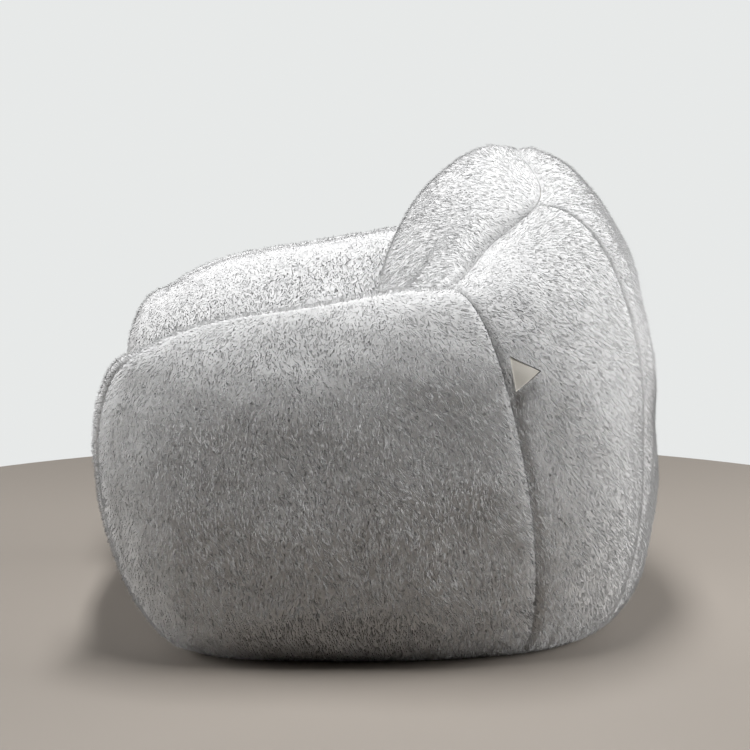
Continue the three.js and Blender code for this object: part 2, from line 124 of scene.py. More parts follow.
def mix(a, b, t):
    return a + (b - a) * t


def wall_half(station, t):
    station, t = np.broadcast_arrays(np.asarray(station, float), np.asarray(t, float))
    w = ease(t)
    cx, cy, cz, bx, by, fx, fy, peak, low, high = (rail(k, station) for k in range(1, 11))
    puff = swell(w, peak, low, high)
    x = mix(fx, cx, w) + puff * (bx - mix(fx, cx, peak))
    y = mix(fy, cy, w) + puff * (by - mix(fy, cy, peak))
    return np.stack([x, y, cz * w], -1)


MIRROR = np.array([-1.0, 1, 1])


def wall(station, t):
    station, t = np.broadcast_arrays(np.asarray(station, float), np.asarray(t, float))
    near = wall_half(np.minimum(station, 2.5), t)
    far = wall_half(np.minimum(5 - station, 2.5), t) * MIRROR
    return np.where((station <= 2.5)[..., None], near, far)


def inner_swell(w):
    top = np.sqrt(np.clip(1 - (1 - w / INNER_PEAK) ** 2, 0, 1))
    foot = np.cos((np.pi / 2) * np.clip((w - INNER_PEAK) / (1 - INNER_PEAK), 0, 1))
    return np.where(w <= INNER_PEAK, top, foot)


def hang(top, foot, bulge, w):
    return mix(top, foot, w[..., None]) + bulge * inner_swell(w)[..., None]


def front_edge(t):
    w = ease(np.asarray(t, float))
    line = mix(FRONT_BASE[1], FRONT_CORNER[1], w)
    fullest = FRONT_BELLY_Y - mix(FRONT_BASE[1], FRONT_CORNER[1], 0.5)
    y = line + swell(w, 0.5, 2.0, 2.0) * fullest
    return np.stack([mix(FRONT_BASE[0], FRONT_CORNER[0], w), y, FRONT_CORNER[2] * w], -1)


def seat_edge(t):
    t = np.asarray(t, float)
    p = mix(FRONT_CORNER, SEAT_CORNER, t[..., None])
    dip = np.sin(np.pi * t)[..., None]
    return p + dip * np.array([-6.0, 0, -14])


def arm_inner(u, v):
    """v runs up the nose and back along the crest, u from the crest seam down to the seat."""
    step = v * (RISE + ARM_RUN)
    on_nose = step <= RISE + 1e-9
    t_nose = np.clip(step / RISE, 0, 1)
    t_crest = np.clip((step - RISE) / ARM_RUN, 0, 1)
    bulge_nose = mix(NOSE_FOOT_BULGE, NOSE_BULGE, (t_nose**4)[..., None])
    nose = hang(wall_half(0 * t_nose, t_nose), front_edge(t_nose), bulge_nose, u)
    early = np.minimum(t_crest / 0.3, 1)
    late = np.maximum((t_crest - 0.7) / 0.3, 0)
    bulge = mix(NOSE_BULGE, ARM_BULGE, (early * (2 - early))[..., None])
    bulge = mix(bulge, CREASE_BULGE, (late * late)[..., None])
    crest = hang(wall_half(t_crest, 1 + 0 * t_crest), seat_edge(t_crest), bulge, u)
    return np.where(on_nose[..., None], nose, crest)


def across_station(q):
    step = q * ACROSS
    side = 1 + step / CORNER_RUN
    back = 2 + (step - CORNER_RUN) / BACK_RUN
    far = 3 + (step - CORNER_RUN - BACK_RUN) / CORNER_RUN
    return np.where(step <= CORNER_RUN, side, np.where(step <= CORNER_RUN + BACK_RUN, back, far))


def across_edge(q, corner, reach_y, reach_z):
    side = 1 - 2 * np.asarray(q, float)
    lift = 1 - side * side
    return np.stack([corner[0] * side, corner[1] + reach_y * lift, corner[2] + reach_z * lift], -1)


def seat_rear(q):
    return across_edge(q, SEAT_CORNER, -6, 22)


def seat_front_edge(q):
    return across_edge(q, FRONT_CORNER, -12, 26)


def seat_front_foot(q):
    return across_edge(q, FRONT_BASE, -8, 0)


def backrest(q, w):
    side = 1 - 2 * q
    edge = np.abs(side) ** 2.2
    crease = CREASE_BULGE * np.stack([side * edge, edge, edge], -1)
    middle = BACKREST_BULGE * (1 - edge)[..., None]
    return hang(wall(across_station(q), 1.0), seat_rear(q), crease + middle, w)


def fill_in(south, north, west, u, v):
    """A four-sided patch filled in from its edges; the east edge mirrors the west one."""
    uu, vv = u[..., None], v[..., None]
    p = mix(south(u), north(u), vv) + mix(west(v), west(v) * MIRROR, uu)
    p = p - mix(south(0.0), south(1.0), uu) * (1 - vv)
    return p - mix(north(0.0), north(1.0), uu) * vv


def seat(q, t):
    p = fill_in(seat_front_edge, seat_rear, seat_edge, q, t)
    p[..., 2] += SEAT_CROWN * np.sin(np.pi * q) * np.clip(np.sin(np.pi * t), 0, 1) ** 0.8
    return p


def seat_front(q, t):
    p = fill_in(seat_front_foot, seat_front_edge, front_edge, q, t)
    p[..., 1] -= SEAT_FRONT_CROWN * np.sin(np.pi * q) * np.sin(np.pi * t)
    return p


# name, steps each way, surface, mirrored, turned over, comb direction in (u, v)
PANELS = [
    ("outer_arm_panel_left", ARM_RUN, RISE, wall_half, False, False, (0.25, -1.0)),
    ("outer_arm_panel_right", ARM_RUN, RISE, wall_half, True, True, (0.25, -1.0)),
    ("inner_arm_panel_left", INNER_RUN, RISE + ARM_RUN, arm_inner, False, True, (1.0, 0.2)),
    ("inner_arm_panel_right", INNER_RUN, RISE + ARM_RUN, arm_inner, True, False, (1.0, 0.2)),
    ("back_side_panel_left", CORNER_RUN, RISE, lambda u, v: wall_half(1 + u, v), False, False, (0.1, -1.0)),
    ("back_side_panel_right", CORNER_RUN, RISE, lambda u, v: wall_half(1 + u, v), True, True, (0.1, -1.0)),
    ("back_centre_panel", BACK_RUN, RISE, lambda u, v: wall(2 + u, v), False, False, (0.0, -1.0)),
    ("backrest_front_panel", ACROSS, INNER_RUN, backrest, False, False, (0.0, 1.0)),
    ("seat_panel", ACROSS, ARM_RUN, seat, False, True, (0.0, -1.0)),
    ("seat_front_panel", ACROSS, RISE, seat_front, False, True, (0.0, -1.0)),
]


def panel_grid(nu, nv, surface, mirrored):
    u, v = np.meshgrid(np.arange(nu + 1) / nu, np.arange(nv + 1) / nv, indexing="ij")
    p = surface(u, v)
    if mirrored:
        p = p * MIRROR
    return (p + np.array([0, SHIFT_Y, 0])) / 1000.0


grids = {name: panel_grid(nu, nv, surface, mirrored) for name, nu, nv, surface, mirrored, _, _ in PANELS}

# ---- One closed skin for the simulation ------------------------------------------------------------------------
everything = np.concatenate([g.reshape(-1, 3) for g in grids.values()])
_, first, where = np.unique(
    np.round(everything * 2e4 + 0.137).astype(np.int64), axis=0, return_index=True, return_inverse=True
)
where = where.reshape(-1)
skin = everything[first]
ids, offset = {}, 0
for name, g in grids.items():
    count = g.shape[0] * g.shape[1]
    ids[name] = where[offset:offset + count].reshape(g.shape[:2])
    offset += count


def grid_quads(index, turned):
    a, b = index[:-1, :-1], index[1:, :-1]
    c, d = index[1:, 1:], index[:-1, 1:]
    quads = np.stack([a, b, c, d], -1).reshape(-1, 4)
    return quads[:, ::-1] if turned else quads


quads = np.concatenate([grid_quads(ids[p[0]], p[5]) for p in PANELS])


def rim(index):
    return np.unique(np.r_[index[0], index[-1], index[:, 0], index[:, -1]])


seam_ids = np.unique(np.concatenate([rim(index) for index in ids.values()]))
floor_ids = np.flatnonzero(skin[:, 2] < 1e-6)


def floor_ring():
    """The floor outline's vertices in order, from the open edges of the quads."""
    edges = {}
    flat = {int(i) for i in floor_ids}
    for quad in quads[np.isin(quads, floor_ids).sum(1) >= 2].tolist():
        for a, b in zip(quad, quad[1:] + quad[:1]):
            if a in flat and b in flat:
                edges[a] = b
    ring = [next(iter(edges))]
    while len(ring) < len(edges):
        ring.append(edges[ring[-1]])
    return ring


ring = floor_ring()


def make_mesh(name, points, faces):
    """faces is one array, or a list of arrays of faces with the same number of corners."""
    lots = faces if isinstance(faces, list) else [faces]
    loops = np.concatenate([np.asarray(f).reshape(-1) for f in lots]).astype(np.int32)
    totals = np.concatenate([np.full(len(f), len(f[0])) for f in lots])
    mesh = bpy.data.meshes.new(name)
    mesh.vertices.add(len(points))
    mesh.vertices.foreach_set("co", np.asarray(points, np.float32).reshape(-1))
    mesh.loops.add(len(loops))
    mesh.loops.foreach_set("vertex_index", loops)
    mesh.polygons.add(len(totals))
    starts = np.r_[0, np.cumsum(totals)[:-1]].astype(np.int32)
    mesh.polygons.foreach_set("loop_start", starts)
    mesh.update(calc_edges=True)
    mesh.polygons.foreach_set("use_smooth", np.ones(len(totals), bool))
    return mesh


def add_object(name, mesh):
    obj = bpy.data.objects.new(name, mesh)
    bpy.context.scene.collection.objects.link(obj)
    return obj


def coordinates(mesh):
    co = np.zeros(len(mesh.vertices) * 3, np.float32)
    mesh.vertices.foreach_get("co", co)
    return co.reshape(-1, 3).astype(float)


def puff_out(points):
    """Cloth simulation: the skin is held at its seams and on the floor, and blown out between them."""
    centre = points[ring].mean(0)
    closed = np.vstack([points, centre])
    fan = np.array([[ring[(k + 1) % len(ring)], ring[k], len(points)] for k in range(len(ring))])
    obj = add_object("skin_sim", make_mesh("skin_sim", closed, [quads, fan]))
    held = obj.vertex_groups.new(name="held")
    held.add([int(i) for i in seam_ids] + [int(i) for i in floor_ids] + [len(points)], 1.0, "REPLACE")
    cloth = obj.modifiers.new("cloth", "CLOTH")
    s = cloth.settings
    s.quality = 5
    s.mass = 0.35
    s.tension_stiffness = s.compression_stiffness = 12
    s.shear_stiffness = 5
    s.bending_stiffness = 0.6
    s.use_pressure = True
    s.uniform_pressure_force = PRESSURE
    s.vertex_group_mass = "held"
    s.shrink_min = -0.02
    s.effector_weights.gravity = 0
    cloth.collision_settings.use_collision = False
    cloth.collision_settings.use_self_collision = False
    scene = bpy.context.scene
    for step in range(1, SIM_FRAMES + 1):
        scene.frame_set(step)
    ready = obj.evaluated_get(bpy.context.evaluated_depsgraph_get())
    result = coordinates(ready.data)[:len(points)]
    bpy.data.objects.remove(obj)
    scene.frame_set(1)
    move = result - points
    far = np.linalg.norm(move, axis=1, keepdims=True)
    return points + move * np.minimum(1, MOST_PUFF / np.maximum(far, 1e-9))


puffed = puff_out(skin)


# ---- Smooth fields over the skin -------------------------------------------------------------------------------
def vertex_normals(points):
    """One outward normal for each vertex of the skin, weighted by the area of the faces round it."""
    p = points[quads]
    face = np.cross(p[:, 2] - p[:, 0], p[:, 3] - p[:, 1])
    total = np.zeros_like(points)
    for k in range(4):
        np.add.at(total, quads[:, k], face)
    return total / np.maximum(np.linalg.norm(total, axis=1, keepdims=True), 1e-12)


def smoothed(values, passes, held=()):
    """Each vertex's value drawn towards its neighbours'; the held vertices keep theirs."""
    times = np.bincount(quads.reshape(-1), minlength=len(values)).astype(float)[:, None]
    kept = np.array(values, float)
    for _ in range(passes):
        middle = kept[quads].mean(axis=1)
        total = np.zeros_like(kept)
        for k in range(4):
            np.add.at(total, quads[:, k], middle)
        kept = total / np.maximum(times, 1)
        if len(held):
            kept[held] = values[held]
    return kept


def seam_distance(points):
    """How far each vertex is from the nearest seam, in metres."""
    tree = kdtree.KDTree(len(seam_ids))
    for k in seam_ids:
        tree.insert(points[k], int(k))
    tree.balance()
    return np.array([tree.find(p)[2] for p in points])


def unit(v):
    return v / np.maximum(np.linalg.norm(v, axis=-1, keepdims=True), 1e-12)


def smooth_step(value, low, high):
    t = np.clip((value - low) / (high - low), 0, 1)
    return t * t * (3 - 2 * t)


rng = np.random.default_rng(20260)
WAVES = [(rng.normal(size=3), rng.uniform(0, 2 * np.pi)) for _ in range(24)]


def lumps(points, wavelength, waves):
    """Soft random undulation, between about -1 and 1."""
    total = np.zeros(len(points))
    for direction, phase in waves:
        unit = direction / np.linalg.norm(direction)
        total += np.sin(points @ unit * (2 * np.pi / wavelength) + phase)
    return total / math.sqrt(len(waves) * 2)


# The CAD part is the size to the tips of the pile, so the cloth lies a little inside it
PILE_RISE = 0.0075
PUFF_SHARE = 0.5
GROOVE_DEEP, GROOVE_WIDE = 0.0042, 0.0075
BROAD_LUMP, BROAD_WAVE = 0.0030, 0.19
FINE_LUMP, FINE_WAVE = 0.0012, 0.062
LUMP_FADE = 0.05
BACK_SLACK = 0.009
ARM_FULLNESS = 0.012

to_seam = seam_distance(puffed)
puffed = skin + smoothed(puffed - skin, 6, seam_ids) * PUFF_SHARE
inset = smoothed(vertex_normals(puffed), 10)
inset[floor_ids, 2] = 0.0
puffed = puffed - inset * PILE_RISE
normals = unit(smoothed(vertex_normals(puffed), 3))
away = np.clip(to_seam / LUMP_FADE, 0, 1) * np.clip(puffed[:, 2] / LUMP_FADE, 0, 1)
rise = BROAD_LUMP * lumps(puffed, BROAD_WAVE, WAVES[:8]) * away
rise += FINE_LUMP * lumps(puffed, FINE_WAVE, WAVES[8:16]) * away
rise -= GROOVE_DEEP * np.exp(-((to_seam / GROOVE_WIDE) ** 2)) * np.clip(puffed[:, 2] / 0.02, 0, 1)
shaped = puffed + normals * rise[:, None]

# Settled shape: the back is a little flatter than the rails at mid height, and the arm tops a little fuller
slack_back = smooth_step(shaped[:, 1], 0.22, 0.46) * smooth_step(shaped[:, 2], 0.15, 0.38)
slack_back = slack_back * (1 - smooth_step(shaped[:, 2], 0.60, 0.84))
shaped[:, 1] -= BACK_SLACK * slack_back
full_arm = smooth_step(shaped[:, 2], 0.50, 0.62) * (1 - smooth_step(shaped[:, 1], 0.02, 0.20))
full_arm = full_arm * smooth_step(np.abs(shaped[:, 0]), 0.25, 0.36) * smooth_step(shaped[:, 1], -0.44, -0.30)
full_arm = full_arm * (1 - 0.6 * smooth_step(shaped[:, 0], 0.25, 0.45))
shaped[:, 2] += ARM_FULLNESS * full_arm
shaped[:, 2] = np.maximum(shaped[:, 2], 0.0)
normals = unit(smoothed(vertex_normals(shaped), 2))


# ---- Materials --------------------------------------------------------------------------------------------------
def new_material(name):
    material = bpy.data.materials.new(name)
    material.use_nodes = True
    tree = material.node_tree
    shader = next(n for n in tree.nodes if n.type == "BSDF_PRINCIPLED")
    return material, tree, shader


def node(tree, kind, **values):
    """A new node; each value goes to the input of that name, or else to the node's own setting."""
    made = tree.nodes.new(kind)
    for key, value in values.items():
        if key in made.inputs:
            made.inputs[key].default_value = value
        else:
            setattr(made, key.lower(), value)
    return made


def ramp(tree, source, stops):
    """A colour ramp on source; stops are (place, (r, g, b))."""
    made = tree.nodes.new("ShaderNodeValToRGB")
    tree.links.new(source, made.inputs["Fac"])
    elements = made.color_ramp.elements
    while len(elements) < len(stops):
        elements.new(0.5)
    for element, (place, colour) in zip(elements, stops):
        element.position = place
        element.color = (*colour, 1)
    return made


def pile_material():
    """Fibres: darker and cooler at the root as painted shade deep in the pile; each tuft a little lighter or
    darker than the next.
    """
    material, tree, shader = new_material("pile")
    tone_and_root_shade = node(tree, "ShaderNodeAttribute")
    tone_and_root_shade.attribute_name = "tone_and_root_shade"
    # Low values, at the fibre roots, are painted shade deep in the pile; the rest is each tuft's own tone
    shade = ramp(tree, tone_and_root_shade.outputs["Fac"], [
        (0.0, (0.42, 0.42, 0.425)),
        (0.35, (0.62, 0.62, 0.625)),
        (0.75, (0.78, 0.78, 0.78)),
        (1.0, (0.86, 0.86, 0.855)),
    ])
    tree.links.new(shade.outputs["Color"], shader.inputs["Base Color"])
    shader.inputs["Roughness"].default_value = 0.62
    shader.inputs["Subsurface Weight"].default_value = 0.7
    shader.inputs["Subsurface Radius"].default_value = (1.0, 1.0, 1.0)
    shader.inputs["Subsurface Scale"].default_value = 0.003
    shader.inputs["Sheen Weight"].default_value = 0.35
    shader.inputs["Sheen Roughness"].default_value = 0.4
    shader.inputs["Specular IOR Level"].default_value = 0.3
    return material


def ground_cloth_material():
    """The knitted ground under the pile, with the short underfur over it; mottled, and darker than the fibres as
    painted shade under the pile.
    """
    material, tree, shader = new_material("plush_ground")
    place = node(tree, "ShaderNodeTexCoord")
    fine = node(tree, "ShaderNodeTexNoise", Scale=420.0, Detail=3.0, Roughness=0.6)
    broad = node(tree, "ShaderNodeTexNoise", Scale=38.0, Detail=2.0)
    tree.links.new(place.outputs["Object"], fine.inputs["Vector"])
    tree.links.new(place.outputs["Object"], broad.inputs["Vector"])
    both = node(tree, "ShaderNodeMath", operation="ADD")
    tree.links.new(fine.outputs["Fac"], both.inputs[0])
    tree.links.new(broad.outputs["Fac"], both.inputs[1])
    half = node(tree, "ShaderNodeMath", operation="MULTIPLY")
    half.inputs[1].default_value = 0.5
    tree.links.new(both.outputs[0], half.inputs[0])
    # Mid greys below the fibre tips: painted shade under the pile, over the ground's own mottled tone
    shade = ramp(tree, half.outputs[0], [(0.3, (0.52, 0.52, 0.525)), (0.7, (0.72, 0.72, 0.72))])
    tree.links.new(shade.outputs["Color"], shader.inputs["Base Color"])
    bump = node(tree, "ShaderNodeBump", Strength=0.6, Distance=0.002)
    tree.links.new(fine.outputs["Fac"], bump.inputs["Height"])
    tree.links.new(bump.outputs["Normal"], shader.inputs["Normal"])
    shader.inputs["Roughness"].default_value = 0.95
    shader.inputs["Sheen Weight"].default_value = 0.3
    return material


PILE = pile_material()
GROUND = ground_cloth_material()


# ---- Plush panels: ground cloth and pile ------------------------------------------------------------------------
GROUND_THICK = 0.005
SEAM_GAP = 0.0009
PILE_LENGTH = 0.0112
TUFT = 0.0050
PILE_DENSITY = 110000
MOST_FIBRES = 49000
PILE_LIFT = 0.50
LEAST_LIFT, MOST_LIFT = 0.16, 0.95
ROOT_SUNK = 0.0012
THINNEST, THICKEST = 0.0006, 0.00095
TUFT_GATHER = 0.30
SEAM_SHORTENING, SEAM_REACH = 0.20, 0.016
FLOOR_CLEAR = 0.004


def ground_cloth(name, index, turned):
    """The panel as a closed sheet: its face, its back, and the turned edges between them."""
    outer = shaped[index]
    inner = outer - normals[index] * GROUND_THICK
    inside = np.zeros_like(outer)
    inside[0] += outer[1] - outer[0]
    inside[-1] += outer[-2] - outer[-1]
    inside[:, 0] += outer[:, 1] - outer[:, 0]
    inside[:, -1] += outer[:, -2] - outer[:, -1]
    long = np.maximum(np.linalg.norm(inside, axis=-1, keepdims=True), 1e-9)
    draw = inside / long * SEAM_GAP
    nu, nv = index.shape
    count = nu * nv
    local = np.arange(count).reshape(nu, nv)
    face = grid_quads(local, turned)
    back = grid_quads(local + count, not turned)
    loop = np.r_[local[:-1, 0], local[-1, :-1], local[:0:-1, -1], local[0, :0:-1]]
    after = np.roll(loop, -1)
    edge = np.stack([loop, loop + count, after + count, after], -1)
    if turned:
        edge = edge[:, ::-1]
    points = np.concatenate([(outer + draw).reshape(-1, 3), (inner + draw).reshape(-1, 3)])
    points[:, 2] = np.maximum(points[:, 2], 0.0004)
    obj = add_object(name, make_mesh(name, points, np.concatenate([face, back, edge])))
    obj.data.materials.append(GROUND)
    return obj


def bilinear(values, x, y):
    """values on the panel's grid, read at fractional grid places."""
    i = np.minimum(x.astype(int), values.shape[0] - 2)
    j = np.minimum(y.astype(int), values.shape[1] - 2)
    fx, fy = x - i, y - j
    if values.ndim == 3:
        fx, fy = fx[:, None], fy[:, None]
    low = values[i, j] * (1 - fx) + values[i + 1, j] * fx
    high = values[i, j + 1] * (1 - fx) + values[i + 1, j + 1] * fx
    return low * (1 - fy) + high * fy


def pile(name, index, comb, seed):
    """Combed fibres: slim four-faced spikes rooted in the cloth, leaning with the nap, and gathered in tufts."""
    draw = np.random.default_rng(seed)
    outer = shaped[index]
    normal = normals[index]
    du = np.gradient(outer, axis=0)
    dv = np.gradient(outer, axis=1)
    nv = index.shape[1] - 1
    centre = (outer[:-1, :-1] + outer[1:, 1:]) / 2
    across_cell = outer[1:, :-1] - outer[:-1, :-1]
    along_cell = outer[:-1, 1:] - outer[:-1, :-1]
    area = np.linalg.norm(np.cross(across_cell, along_cell), axis=-1)
    area = area * (centre[..., 2] > FLOOR_CLEAR)
    count = int(min(area.sum() * PILE_DENSITY, MOST_FIBRES))
    cell = draw.choice(area.size, size=count, p=(area / area.sum()).reshape(-1))
    x = cell // nv + draw.random(count)
    y = cell % nv + draw.random(count)
    root = bilinear(outer, x, y)
    up = unit(bilinear(normal, x, y))
    along_u, along_v = unit(bilinear(du, x, y)), unit(bilinear(dv, x, y))
    nap = unit(along_u * comb[0] + along_v * comb[1])
    side = np.cross(up, nap)
    near_seam = np.clip(bilinear(to_seam[index], x, y) / SEAM_REACH, 0, 1)
    swirl = 0.34 * lumps(root, 0.16, WAVES[0:6]) + 0.20 * lumps(root, 0.045, WAVES[6:12])
    swirl = swirl + draw.normal(0, 0.24, count)
    lean = unit(nap * np.cos(swirl)[:, None] + side * np.sin(swirl)[:, None])
    # fibres in the same small cell lean together into a tuft
    key = np.floor(root / TUFT + draw.normal(0, 0.25, root.shape)).astype(int)
    mixed = (key[:, 0] * 73856093) ^ (key[:, 1] * 19349663) ^ (key[:, 2] * 83492791)
    lift = PILE_LIFT + 0.10 * np.sin(mixed % 977) + 0.06 * lumps(root, 0.05, WAVES[12:18])
    lift = np.clip(lift + draw.normal(0, 0.10, count), LEAST_LIFT, MOST_LIFT)
    length = PILE_LENGTH * (0.85 + 0.15 * np.sin(mixed % 613)) * draw.uniform(0.75, 1.2, count)
    length = length * (1 - SEAM_SHORTENING + SEAM_SHORTENING * near_seam)
    tip = root + length[:, None] * unit(lean * np.cos(lift)[:, None] + up * np.sin(lift)[:, None])
    group = np.unique(mixed, return_inverse=True)[1].reshape(-1)
    number = np.bincount(group).astype(float)
    gathered = np.stack([np.bincount(group, tip[:, k]) / number for k in range(3)], -1)[group]
    tip = mix(tip, gathered, TUFT_GATHER)
    foot = root - up * ROOT_SUNK
    wide = draw.uniform(THINNEST, THICKEST, count)[:, None]
    axis = unit(tip - foot)
    across = unit(np.cross(axis, up))
    over = np.cross(across, axis)
    corners = [foot + wide * across, foot - wide * across, foot + wide * 0.7 * over]
    points = np.stack([*corners, tip], 1).reshape(-1, 3)
    points[:, 2] = np.maximum(points[:, 2], 0.0003)
    base = np.arange(count)[:, None] * 4
    pattern = [(0, 2, 3), (2, 1, 3), (1, 0, 3), (0, 1, 2)]
    faces = np.concatenate([base + np.array([corner]) for corner in pattern])
    mesh = make_mesh(name, points, faces)
    streaks = np.sin(x * 2.1 + 3 * lumps(root, 0.11, WAVES[0:6])) * np.sin(x * 0.9 + 1.7)
    shade = 0.63 + 0.05 * np.sin(mixed % 389) + draw.normal(0, 0.09, count)
    shade = shade + 0.06 * lumps(root, 0.09, WAVES[3:9]) + 0.05 * streaks
    # Roots take half the tuft's tone and tips a little more than it: the darker roots are painted shade deep in
    # the pile
    tone_and_root_shade = np.stack([shade * 0.50] * 3 + [shade * 1.22], 1).clip(0, 1)
    tones = mesh.attributes.new("tone_and_root_shade", "FLOAT", "POINT")
    tones.data.foreach_set("value", tone_and_root_shade.reshape(-1).astype(np.float32))
    tilt = across * draw.normal(0, 0.20, (count, 1)) + axis * draw.normal(0.10, 0.34, (count, 1))
    mesh.normals_split_custom_set_from_vertices(np.repeat(unit(up + tilt), 4, axis=0))
    obj = add_object(name, mesh)
    obj.data.materials.append(PILE)
    return obj


for number, (name, _, _, _, _, turned, comb) in enumerate(PANELS):
    cloth_piece = ground_cloth("plush_" + name, ids[name], turned)
    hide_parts(name)
    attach(cloth_piece, "chair")
    fibres = pile("pile_" + name, ids[name], comb, 100 + number)
    # Real fibres let light through, so these cast no shadows of their own; the cloth below them does
    fibres.visible_shadow = False
    fibres.visible_diffuse = False
    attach(fibres, "chair")


# ---- Base, inner bag, beads, zips and label ---------------------------------------------------------------------
def woven_material(name, dark, light, threads, roughness=0.85):
    """Plain weave: two crossed sets of threads, uneven in tone, with the thread relief in the bump."""
    material, tree, shader = new_material(name)
    place = node(tree, "ShaderNodeTexCoord")
    sets = []
    for direction in ("X", "Y"):
        thread = node(tree, "ShaderNodeTexWave", Scale=threads, Distortion=0.6, Detail=1.0)
        thread.bands_direction = direction
        tree.links.new(place.outputs["Object"], thread.inputs["Vector"])
        sets.append(thread)
    weave = node(tree, "ShaderNodeMath", operation="MULTIPLY")
    tree.links.new(sets[0].outputs["Fac"], weave.inputs[0])
    tree.links.new(sets[1].outputs["Fac"], weave.inputs[1])
    patchy = node(tree, "ShaderNodeTexNoise", Scale=14.0, Detail=4.0)
    tree.links.new(place.outputs["Object"], patchy.inputs["Vector"])
    blend = node(tree, "ShaderNodeMath", operation="MULTIPLY_ADD")
    tree.links.new(weave.outputs[0], blend.inputs[0])
    blend.inputs[1].default_value = 0.6
    tree.links.new(patchy.outputs["Fac"], blend.inputs[2])
    shade = ramp(tree, blend.outputs[0], [(0.35, dark), (1.0, light)])
    tree.links.new(shade.outputs["Color"], shader.inputs["Base Color"])
    bump = node(tree, "ShaderNodeBump", Strength=0.5, Distance=0.0006)
    tree.links.new(weave.outputs[0], bump.inputs["Height"])
    tree.links.new(bump.outputs["Normal"], shader.inputs["Normal"])
    shader.inputs["Roughness"].default_value = roughness
    return material


def grained_material(name, dark, light, scale, rough, metallic=0.0):
    """Moulded nylon or die-cast metal: fine grain, with handling marks in colour and roughness."""
    material, tree, shader = new_material(name)
    place = node(tree, "ShaderNodeTexCoord")
    grain = node(tree, "ShaderNodeTexNoise", Scale=scale, Detail=6.0, Roughness=0.65)
    tree.links.new(place.outputs["Object"], grain.inputs["Vector"])
    shade = ramp(tree, grain.outputs["Fac"], [(0.3, dark), (0.7, light)])
    tree.links.new(shade.outputs["Color"], shader.inputs["Base Color"])
    worn = node(tree, "ShaderNodeMapRange")
    tree.links.new(grain.outputs["Fac"], worn.inputs["Value"])
    worn.inputs["To Min"].default_value = rough[0]
    worn.inputs["To Max"].default_value = rough[1]
    tree.links.new(worn.outputs["Result"], shader.inputs["Roughness"])
    bump = node(tree, "ShaderNodeBump", Strength=0.25, Distance=0.0003)
    tree.links.new(grain.outputs["Fac"], bump.inputs["Height"])
    tree.links.new(bump.outputs["Normal"], shader.inputs["Normal"])
    shader.inputs["Metallic"].default_value = metallic
    return material


def bead_material():
    material, tree, shader = new_material("beads")
    place = node(tree, "ShaderNodeTexCoord")
    cells = node(tree, "ShaderNodeTexVoronoi", Scale=210.0)
    tree.links.new(place.outputs["Object"], cells.inputs["Vector"])
    # Each bead lighter in its middle and darker towards the edge of its cell: painted shade between the beads
    shade = ramp(tree, cells.outputs["Distance"], [(0.0, (0.88, 0.88, 0.87)), (0.8, (0.60, 0.60, 0.59))])
    tree.links.new(shade.outputs["Color"], shader.inputs["Base Color"])
    bump = node(tree, "ShaderNodeBump", Strength=0.8, Distance=0.002)
    bump.invert = True
    tree.links.new(cells.outputs["Distance"], bump.inputs["Height"])
    tree.links.new(bump.outputs["Normal"], shader.inputs["Normal"])
    shader.inputs["Roughness"].default_value = 0.55
    return material


BASE_CLOTH = woven_material("base_cloth", (0.018, 0.018, 0.02), (0.075, 0.075, 0.08), 420.0)
BAG_CLOTH = woven_material("bag_cloth", (0.62, 0.60, 0.55), (0.82, 0.80, 0.76), 360.0)
ZIP_TAPE = woven_material("zip_tape", (0.03, 0.03, 0.033), (0.10, 0.10, 0.105), 620.0)
ZIP_COIL = grained_material("zip_coil", (0.035, 0.035, 0.038), (0.07, 0.07, 0.075), 240.0, (0.35, 0.55))
ZIP_METAL = grained_material("zip_metal", (0.36, 0.36, 0.37), (0.58, 0.58, 0.59), 180.0, (0.22, 0.42), 1.0)
LABEL_CLOTH = woven_material("label_cloth", (0.74, 0.70, 0.62), (0.90, 0.87, 0.80), 700.0)
BINDING = woven_material("label_binding", (0.012, 0.012, 0.012), (0.045, 0.045, 0.045), 900.0)
BEADS = bead_material()


def remeshed(node_name, name, voxel):
    """A finer, softer copy of one CAD solid."""
    obj = add_object(name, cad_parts[node_name].data.copy())
    obj.data.materials.clear()
    remesh = obj.modifiers.new("remesh", "REMESH")
    remesh.mode = "VOXEL"
    remesh.voxel_size = voxel
    remesh.use_smooth_shade = True
    smooth = obj.modifiers.new("smooth", "SMOOTH")
    smooth.factor, smooth.iterations = 0.5, 3
    fine = bpy.data.meshes.new_from_object(obj.evaluated_get(bpy.context.evaluated_depsgraph_get()))
    obj.modifiers.clear()
    obj.data = fine
    return obj


BASE_SPREAD = 0.996
BASE_FLATTEN = 0.75
BASE_RIPPLE = 0.0006
BASE_VOXEL = 0.004


def settle_base(mesh):
    """The base is thinner than its CAD solid, drawn in a little, and rippled on its upper face only."""
    points = coordinates(mesh)
    waves = BASE_RIPPLE * lumps(points, 0.07, WAVES[4:10]) * smooth_step(points[:, 2], 0.003, 0.009)
    points[:, :2] *= BASE_SPREAD
    points[:, 2] = np.maximum(points[:, 2] * BASE_FLATTEN + waves, 0.0)
    mesh.vertices.foreach_set("co", points.astype(np.float32).reshape(-1))
    mesh.update()


def stuffed_form(name, depth, floor_height):
    """A closed form inside the cover, a little way in from the plush and up from the base."""
    soft = 0.0015 * lumps(shaped, 0.12, WAVES[2:9])[:, None]
    points = shaped - normals * (depth + soft)
    points[:, 2] = np.maximum(points[:, 2], floor_height)
    centre = points[ring].mean(0)
    points = np.vstack([points, centre])
    fan = np.array([[ring[(k + 1) % len(ring)], ring[k], len(points) - 1] for k in range(len(ring))])
    return add_object(name, make_mesh(name, points, [quads, fan]))


for side in ("front", "rear"):
    base_piece = remeshed("base_panel_" + side, "base_cloth_" + side, BASE_VOXEL)
    settle_base(base_piece.data)
    base_piece.data.materials.append(BASE_CLOTH)
    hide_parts("base_panel_" + side)
    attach(base_piece, "chair")

